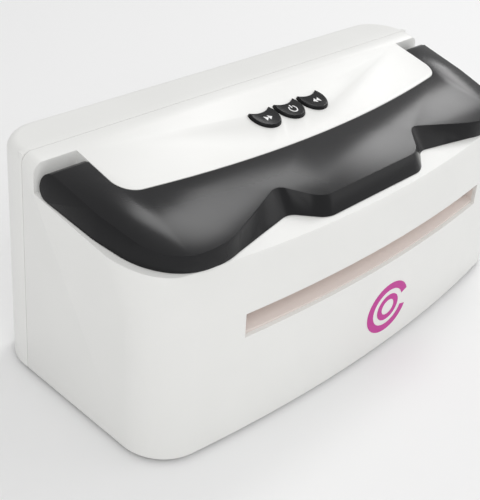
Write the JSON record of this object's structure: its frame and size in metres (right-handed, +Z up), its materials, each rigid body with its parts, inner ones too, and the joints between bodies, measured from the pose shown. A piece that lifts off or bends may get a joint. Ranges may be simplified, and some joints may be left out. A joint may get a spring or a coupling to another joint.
{
  "type": "pouch laminator",
  "caption": "Desktop pouch laminator: bowed casing with a feed slot, wrap-round carry handle, three top keys and heated roller pairs inside.",
  "frame": {"origin": "centre of the footprint, on the surface that the rubber feet rest on", "axes": "+X along the width to the right seen from the front, +Y to the back, +Z up"},
  "size_m": [0.34, 0.1532, 0.1415],
  "materials": {
    "white_shell": "satin",
    "black_gloss": "gloss",
    "guide_white": "matt",
    "rubber_black": "matt",
    "silicone": "matt",
    "steel": "brushed",
    "zinc_sheet": "brushed",
    "aluminium": "satin",
    "board_green": "satin",
    "nylon": "satin",
    "black_matte": "matt",
    "spring_steel": "bright"
  },
  "bodies": {
    "casing": {"base_plate": "black_matte", "board_screws": "steel", "case_screws": "steel", "control_board": "board_green", "drive_motor": "zinc_sheet", "exit_guide": "guide_white", "feed_chute": "guide_white", "foot_front_left": "rubber_black", "foot_front_right": "rubber_black", "foot_rear_left": "rubber_black", "foot_rear_right": "rubber_black", "frame_screws": "steel", "front_shell": "white_shell", "handle_pin_left": "steel", "handle_pin_right": "steel", "heat_shield": "zinc_sheet", "heater_plate_lower": "aluminium", "heater_plate_upper": "aluminium", "hot_lower_bushes": "nylon", "hot_springs": "spring_steel", "idler_stud": "steel", "left_frame": "zinc_sheet", "power_board": "board_green", "power_inlet": "black_matte", "power_parts": "black_matte", "power_switch": "black_matte", "pull_lower_bushes": "nylon", "pull_springs": "spring_steel", "rear_cover": "white_shell", "reverse_switch": "black_matte", "right_frame": "zinc_sheet", "run_switch": "black_matte", "stand_offs": "steel", "thermostat": "black_matte", "tie_bar_front": "steel", "tie_bar_low": "steel", "tie_bar_rear": "steel"},
    "handle": {"carry_handle": "black_gloss"},
    "run_key": {"run_button": "black_gloss", "run_plunger": "nylon"},
    "power_key": {"power_button": "black_gloss", "power_plunger": "nylon"},
    "reverse_key": {"reverse_button": "black_gloss", "reverse_plunger": "nylon"},
    "hot_press": {"hot_sliders": "nylon"},
    "pull_press": {"pull_sliders": "nylon"},
    "hot_lower_roller": {"hot_lower_shaft": "steel", "hot_lower_sleeve": "silicone", "hot_lower_gear": "nylon"},
    "hot_upper_roller": {"hot_upper_shaft": "steel", "hot_upper_sleeve": "silicone", "hot_upper_gear": "nylon"},
    "pull_lower_roller": {"pull_lower_shaft": "steel", "pull_lower_sleeve": "silicone", "pull_lower_gear": "nylon"},
    "pull_upper_roller": {"pull_upper_shaft": "steel", "pull_upper_sleeve": "silicone", "pull_upper_gear": "nylon"},
    "idler": {"idler_gear": "nylon"},
    "pinion": {"motor_pinion": "nylon"}
  },
  "joints": [
    {"name": "handle_swing", "type": "hinge", "parent": "casing", "child": "handle", "pos_m": [0, 0.0264, 0.1293], "axis": [-1, 0, 0], "range_deg": [0, 110]},
    {"name": "run_press", "type": "slide", "parent": "casing", "child": "run_key", "axis": [0, 0.2175, -0.9761], "range_m": [0, 0.0008], "stiffness_N_per_m": 400, "springref_m": -0.002},
    {"name": "power_press", "type": "slide", "parent": "casing", "child": "power_key", "axis": [0, 0.2175, -0.9761], "range_m": [0, 0.0008], "stiffness_N_per_m": 400, "springref_m": -0.002},
    {"name": "reverse_press", "type": "slide", "parent": "casing", "child": "reverse_key", "axis": [0, 0.2175, -0.9761], "range_m": [0, 0.0008], "stiffness_N_per_m": 400, "springref_m": -0.002},
    {"name": "hot_nip_lift", "type": "slide", "parent": "casing", "child": "hot_press", "axis": [0, 0, 1], "range_m": [0, 0.001], "stiffness_N_per_m": 5000, "springref_m": -0.004, "deforming": ["hot_springs"]},
    {"name": "pull_nip_lift", "type": "slide", "parent": "casing", "child": "pull_press", "axis": [0, 0, 1], "range_m": [0, 0.001], "stiffness_N_per_m": 5000, "springref_m": -0.004, "deforming": ["pull_springs"]},
    {"name": "hot_lower_spin", "type": "hinge", "parent": "casing", "child": "hot_lower_roller", "pos_m": [0, -0.0021, 0.0602], "axis": [1, 0, 0], "continuous": true},
    {"name": "hot_upper_spin", "type": "hinge", "parent": "hot_press", "child": "hot_upper_roller", "pos_m": [0, -0.0021, 0.0846], "axis": [1, 0, 0], "continuous": true},
    {"name": "pull_lower_spin", "type": "hinge", "parent": "casing", "child": "pull_lower_roller", "pos_m": [0, 0.0439, 0.0602], "axis": [1, 0, 0], "continuous": true},
    {"name": "pull_upper_spin", "type": "hinge", "parent": "pull_press", "child": "pull_upper_roller", "pos_m": [0, 0.0439, 0.0846], "axis": [1, 0, 0], "continuous": true},
    {"name": "idler_spin", "type": "hinge", "parent": "casing", "child": "idler", "pos_m": [0, 0.0209, 0.05015], "axis": [1, 0, 0], "continuous": true},
    {"name": "pinion_spin", "type": "hinge", "parent": "casing", "child": "pinion", "pos_m": [0, -0.0021, 0.0401], "axis": [1, 0, 0], "continuous": true}
  ],
  "couplings": [
    {"joint": "hot_upper_spin", "follows": "hot_lower_spin", "ratio": -1},
    {"joint": "idler_spin", "follows": "hot_lower_spin", "ratio": -0.92308},
    {"joint": "pull_lower_spin", "follows": "hot_lower_spin", "ratio": 1},
    {"joint": "pull_upper_spin", "follows": "hot_lower_spin", "ratio": -1},
    {"joint": "pinion_spin", "follows": "hot_lower_spin", "ratio": -1.5}
  ]
}
